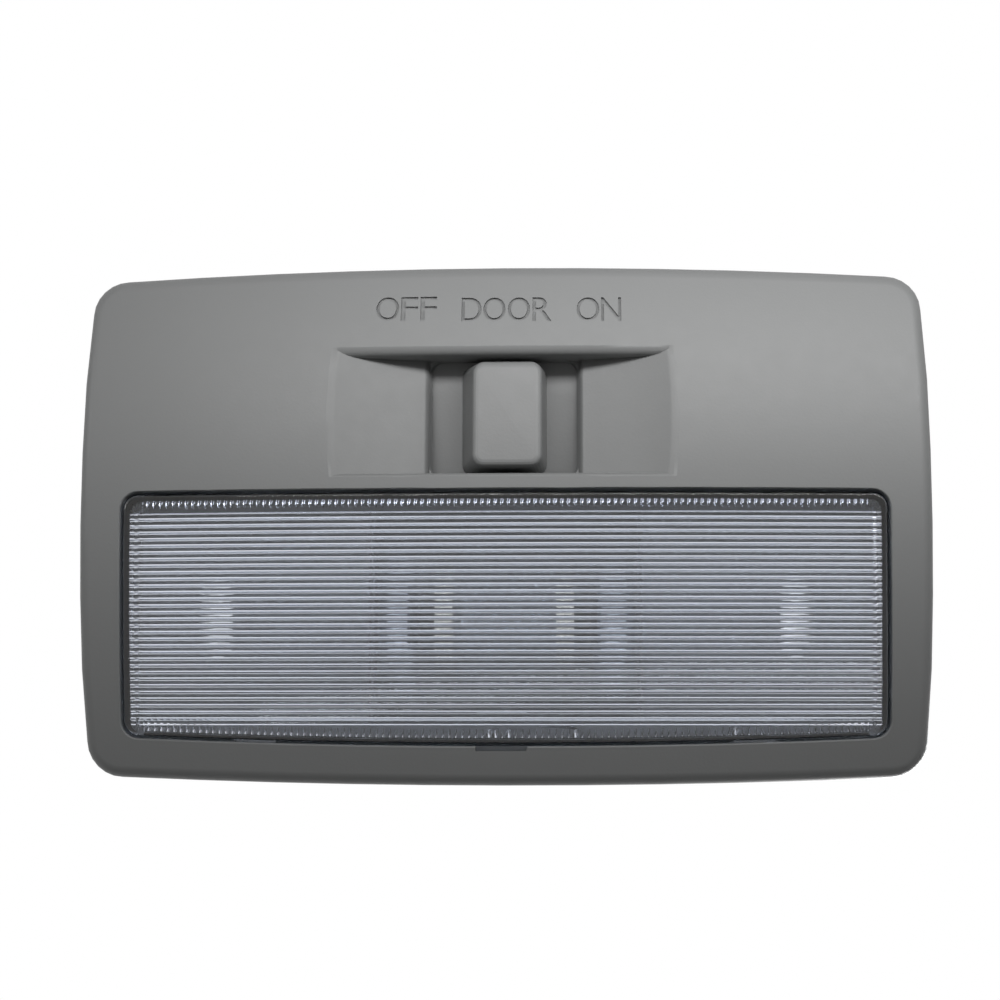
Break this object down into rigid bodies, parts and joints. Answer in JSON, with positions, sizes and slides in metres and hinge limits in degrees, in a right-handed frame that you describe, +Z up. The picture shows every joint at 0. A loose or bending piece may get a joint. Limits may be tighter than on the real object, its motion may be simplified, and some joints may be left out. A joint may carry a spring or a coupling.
{
  "type": "car dome light",
  "caption": "Rectangular headliner light with a clear fluted clip-in lens and a slide switch with an off, a door and an on position in a dished finger recess.",
  "frame": {"origin": "middle of the housing's rim, in the plane that lies on the headliner", "axes": "+Z up to the roof, away from the face; +X along the width, towards the ON side of the switch; +Y from the switch side to the lens side"},
  "size_m": [0.144, 0.088, 0.0324],
  "materials": {
    "housing_plastic": "grained",
    "lens_plastic": "clear, moulded plastic",
    "knob_plastic": "grained",
    "contact_bronze": "satin",
    "spring_steel": "bright",
    "reflector_paint": "white enamel",
    "bulb_glass": "clear",
    "filament_wire": "plain",
    "bulb_cap_nickel": "satin",
    "rivet_aluminium": "satin",
    "base_plastic": "natural",
    "screw_steel": "zinc plated",
    "bar_brass": "stamped sheet"
  },
  "bodies": {
    "fixture": {"housing": "housing_plastic", "lens": "lens_plastic", "reflector": "reflector_paint", "bulb_glass": "bulb_glass", "bulb_filament": "filament_wire", "bulb_cap_left": "bulb_cap_nickel", "bulb_cap_right": "bulb_cap_nickel", "bulb_clip_left": "contact_bronze", "bulb_clip_right": "contact_bronze", "clip_rivet_left": "rivet_aluminium", "clip_rivet_right": "rivet_aluminium", "terminal_base": "base_plastic", "base_screw_left": "screw_steel", "base_screw_right": "screw_steel", "feed_bar": "bar_brass", "lamp_bar": "bar_brass", "door_bar": "bar_brass", "ground_bar": "bar_brass"},
    "slider": {"slide_knob": "knob_plastic", "moving_contact": "contact_bronze", "detent_spring": "spring_steel", "detent_ball": "spring_steel"}
  },
  "joints": [
    {"name": "switch_slide", "type": "slide", "parent": "fixture", "child": "slider", "axis": [1, 0, 0], "range_m": [-0.0042, 0.0042]}
  ]
}
